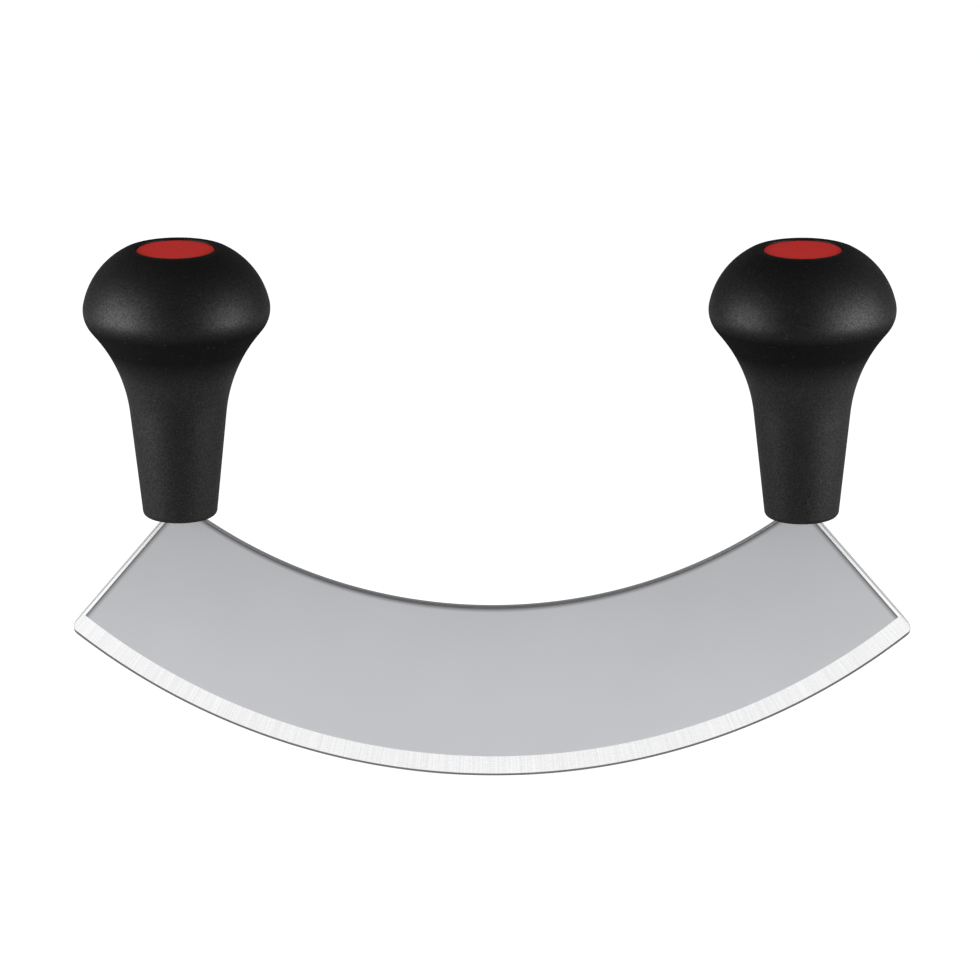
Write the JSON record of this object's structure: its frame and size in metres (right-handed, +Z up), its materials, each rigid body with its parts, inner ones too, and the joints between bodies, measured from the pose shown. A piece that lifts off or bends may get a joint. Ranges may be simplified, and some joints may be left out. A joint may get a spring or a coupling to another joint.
{
  "type": "mezzaluna",
  "caption": "Curved rocking knife with a crescent blade between two upright palm knobs, used to chop herbs by rocking it from side to side.",
  "frame": {"origin": "the lowest point of the cutting edge, in the middle of the blade", "axes": "+Z up towards the knobs, X along the blade, Y through its thickness"},
  "size_m": [0.201, 0.0446, 0.1311],
  "materials": {
    "blade_steel": "fine satin with a polished bevel",
    "black_soft_plastic": "fine matte texture",
    "black_core_plastic": "plain moulded",
    "red_cap_plastic": "smooth satin",
    "fastener_steel": "plain bright"
  },
  "bodies": {
    "root": {"blade": "blade_steel", "left_grip_shell": "black_soft_plastic", "left_grip_core": "black_core_plastic", "left_tang_stud": "fastener_steel", "left_stud_rivet": "fastener_steel", "left_plain_washer": "fastener_steel", "left_spring_washer": "fastener_steel", "left_hex_nut": "fastener_steel", "left_end_cap": "red_cap_plastic", "right_grip_shell": "black_soft_plastic", "right_grip_core": "black_core_plastic", "right_tang_stud": "fastener_steel", "right_stud_rivet": "fastener_steel", "right_plain_washer": "fastener_steel", "right_spring_washer": "fastener_steel", "right_hex_nut": "fastener_steel", "right_end_cap": "red_cap_plastic"}
  },
  "joints": []
}
